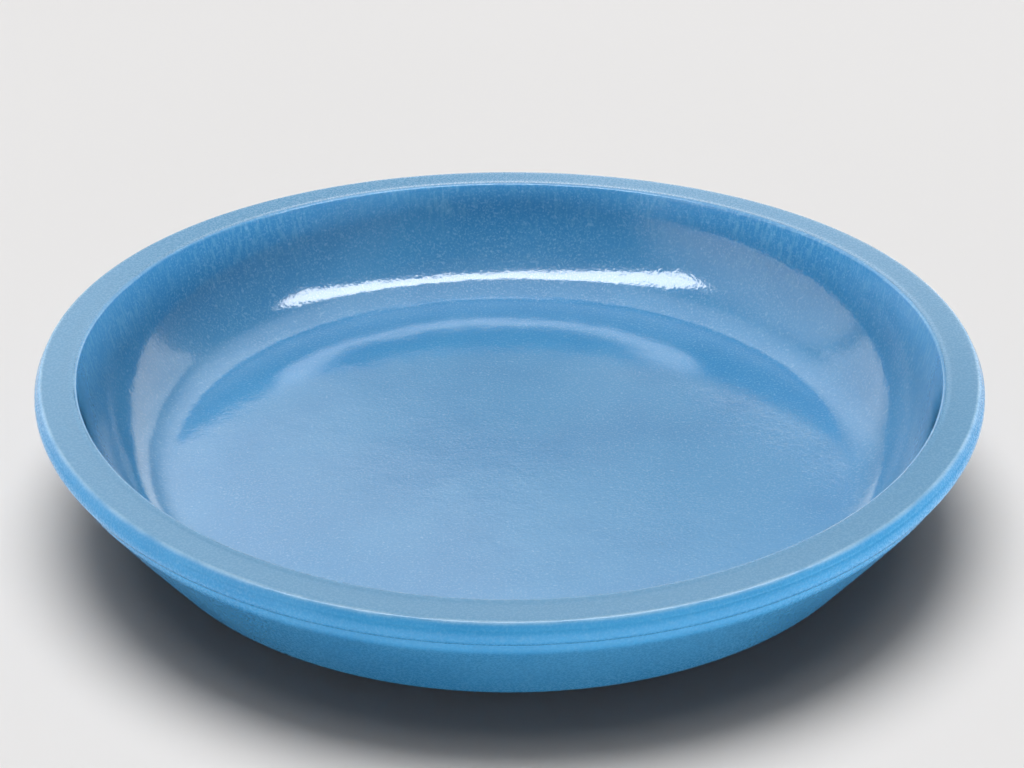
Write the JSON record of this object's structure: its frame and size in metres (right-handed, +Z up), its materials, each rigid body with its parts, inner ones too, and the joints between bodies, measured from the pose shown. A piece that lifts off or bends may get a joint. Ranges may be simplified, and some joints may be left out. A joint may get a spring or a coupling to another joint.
{
  "type": "shallow evaporating dish",
  "caption": "Wide, shallow, round stoneware dish with a broad flat rim, a rolled edge, tapering outside and a bare foot ring; glazed inside and out.",
  "frame": {"origin": "centre of the foot ring, in the plane that the dish stands on", "axes": "+Z up along the axis of the dish; the rim is slightly high at +X and -X and slightly low at +Y and -Y; -Y is the side nearest the viewer"},
  "size_m": [0.25, 0.25, 0.04],
  "materials": {
    "stoneware": "bare fired stoneware, matte, fine grained",
    "liner_glaze": "glossy blue glaze with fine pale specks and a slight ripple",
    "outer_glaze": "satin blue glaze, paler and speckled on the rim",
    "base_glaze": "thin satin blue glaze"
  },
  "bodies": {
    "root": {"stoneware_body": "stoneware", "liner_glaze": "liner_glaze", "outer_glaze": "outer_glaze", "base_glaze": "base_glaze"}
  },
  "joints": []
}
